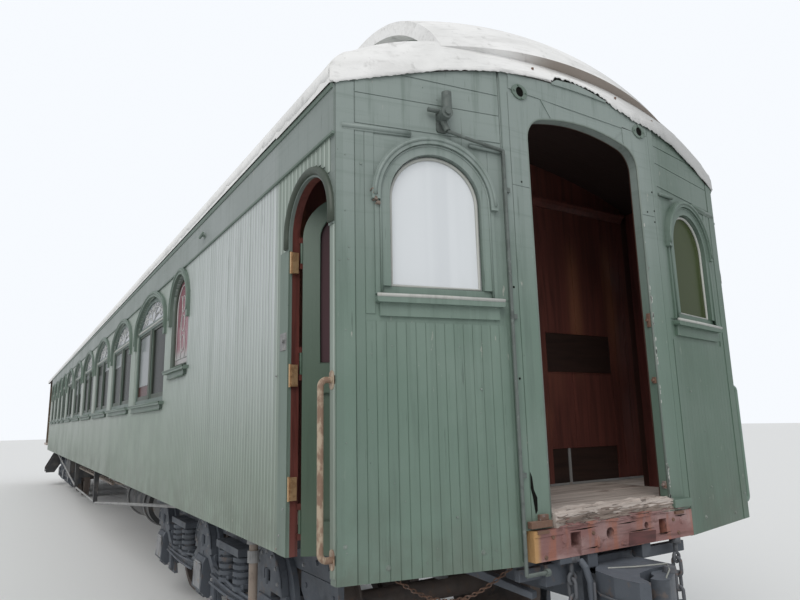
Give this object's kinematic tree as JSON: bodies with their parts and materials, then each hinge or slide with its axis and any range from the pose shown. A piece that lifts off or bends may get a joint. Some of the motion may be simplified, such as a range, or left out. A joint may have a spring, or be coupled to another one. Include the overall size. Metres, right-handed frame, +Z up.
{
  "type": "private railroad car",
  "caption": "Wooden private railroad car with a closed vestibule, an open rear platform, arched windows, a clerestory roof and two swivelling trucks with rolling wheelsets.",
  "frame": {"origin": "on the ground under the middle of the car, at the height of the wheel flanges' lowest points", "axes": "+X towards the vestibule end, +Z up, Y across the car"},
  "size_m": [24.3, 3.118, 4.3298],
  "materials": {
    "sage_side": "worn",
    "sage_end": "worn",
    "door_green": "worn",
    "mahogany": "worn",
    "canvas": "plain",
    "underframe_black": "worn",
    "truck_grey": "worn",
    "wheel_iron": "worn",
    "beam_red": "worn",
    "planks": "worn",
    "brass": "plain",
    "worn_iron": "worn",
    "clear_glass": "plain",
    "milk_glass": "plain"
  },
  "bodies": {
    "carbody": {"brake_gear": "underframe_black", "brake_wheel": "brass", "buffer_beams": "beam_red", "cabin_floor": "planks", "clerestory_walls": "sage_end", "couplers": "truck_grey", "front_end_wall": "mahogany", "front_roof_hood": "canvas", "grab_rails": "brass", "lamp_bracket": "sage_end", "lower_deck_roof": "canvas", "portal_frame": "sage_end", "queen_posts": "underframe_black", "rear_end_wall": "sage_end", "rear_platform_floor": "planks", "rear_railing": "brass", "rear_roof_hood": "canvas", "rear_steps": "underframe_black", "safety_chains": "worn_iron", "side_wall_left": "sage_side", "side_wall_right": "sage_side", "truss_rods": "worn_iron", "underfloor_boxes": "underframe_black", "underfloor_pipes": "worn_iron", "underfloor_tank": "underframe_black", "underframe": "underframe_black", "upper_deck_roof": "canvas", "vestibule_floor": "planks", "vestibule_glass_left": "milk_glass", "vestibule_glass_right": "clear_glass", "vestibule_panel_left": "sage_end", "vestibule_panel_right": "sage_end", "vestibule_side_left": "sage_end", "vestibule_side_right": "sage_end", "window_casings": "sage_side", "window_glass_left": "clear_glass", "window_glass_right": "clear_glass", "window_sashes": "sage_side"},
    "left_vestibule_door": {"vestibule_door_left": "door_green"},
    "right_vestibule_door": {"vestibule_door_right": "door_green"},
    "front_door": {"front_body_door": "mahogany"},
    "rear_door": {"rear_body_door": "mahogany"},
    "left_gate": {"rear_gate_left": "brass"},
    "right_gate": {"rear_gate_right": "brass"},
    "front_truck": {"front_truck_frame": "truck_grey", "front_truck_bolster": "truck_grey", "front_truck_springs": "truck_grey", "front_journal_boxes": "truck_grey"},
    "front_wheels_1": {"front_wheelset_1": "wheel_iron"},
    "front_wheels_2": {"front_wheelset_2": "wheel_iron"},
    "front_wheels_3": {"front_wheelset_3": "wheel_iron"},
    "rear_truck": {"rear_truck_frame": "truck_grey", "rear_truck_bolster": "truck_grey", "rear_truck_springs": "truck_grey", "rear_journal_boxes": "truck_grey"},
    "rear_wheels_1": {"rear_wheelset_1": "wheel_iron"},
    "rear_wheels_2": {"rear_wheelset_2": "wheel_iron"},
    "rear_wheels_3": {"rear_wheelset_3": "wheel_iron"}
  },
  "joints": [
    {"name": "left_vestibule_door_swing", "type": "hinge", "parent": "carbody", "child": "left_vestibule_door", "pos_m": [11.078, -1.4267, 1.13], "axis": [0, 0, 1], "range_deg": [-58, 30]},
    {"name": "right_vestibule_door_swing", "type": "hinge", "parent": "carbody", "child": "right_vestibule_door", "pos_m": [11.078, 1.4267, 1.13], "axis": [0, 0, -1], "range_deg": [-58, 30]},
    {"name": "front_door_swing", "type": "hinge", "parent": "carbody", "child": "front_door", "pos_m": [10.8017, -0.352, 1.315], "axis": [0, 0, 1], "range_deg": [0, 90]},
    {"name": "rear_door_swing", "type": "hinge", "parent": "carbody", "child": "rear_door", "pos_m": [-9.3017, -0.352, 1.315], "axis": [0, 0, -1], "range_deg": [0, 90]},
    {"name": "left_gate_swing", "type": "hinge", "parent": "carbody", "child": "left_gate", "pos_m": [-9.418, -0.855, 1.4], "axis": [0, 0, -1], "range_deg": [0, 90]},
    {"name": "right_gate_swing", "type": "hinge", "parent": "carbody", "child": "right_gate", "pos_m": [-9.418, 0.855, 1.4], "axis": [0, 0, 1], "range_deg": [0, 90]},
    {"name": "front_truck_swivel", "type": "hinge", "parent": "carbody", "child": "front_truck", "pos_m": [8.25, 0, 1.045], "axis": [0, 0, 1], "range_deg": [-4, 4]},
    {"name": "front_wheels_1_roll", "type": "hinge", "parent": "front_truck", "child": "front_wheels_1", "pos_m": [9.85, 0, 0.5105], "axis": [0, 1, 0], "continuous": true},
    {"name": "front_wheels_2_roll", "type": "hinge", "parent": "front_truck", "child": "front_wheels_2", "pos_m": [8.25, 0, 0.5105], "axis": [0, 1, 0], "continuous": true},
    {"name": "front_wheels_3_roll", "type": "hinge", "parent": "front_truck", "child": "front_wheels_3", "pos_m": [6.65, 0, 0.5105], "axis": [0, 1, 0], "continuous": true},
    {"name": "rear_truck_swivel", "type": "hinge", "parent": "carbody", "child": "rear_truck", "pos_m": [-6.75, 0, 1.045], "axis": [0, 0, 1], "range_deg": [-4, 4]},
    {"name": "rear_wheels_1_roll", "type": "hinge", "parent": "rear_truck", "child": "rear_wheels_1", "pos_m": [-5.15, 0, 0.5105], "axis": [0, 1, 0], "continuous": true},
    {"name": "rear_wheels_2_roll", "type": "hinge", "parent": "rear_truck", "child": "rear_wheels_2", "pos_m": [-6.75, 0, 0.5105], "axis": [0, 1, 0], "continuous": true},
    {"name": "rear_wheels_3_roll", "type": "hinge", "parent": "rear_truck", "child": "rear_wheels_3", "pos_m": [-8.35, 0, 0.5105], "axis": [0, 1, 0], "continuous": true}
  ]
}
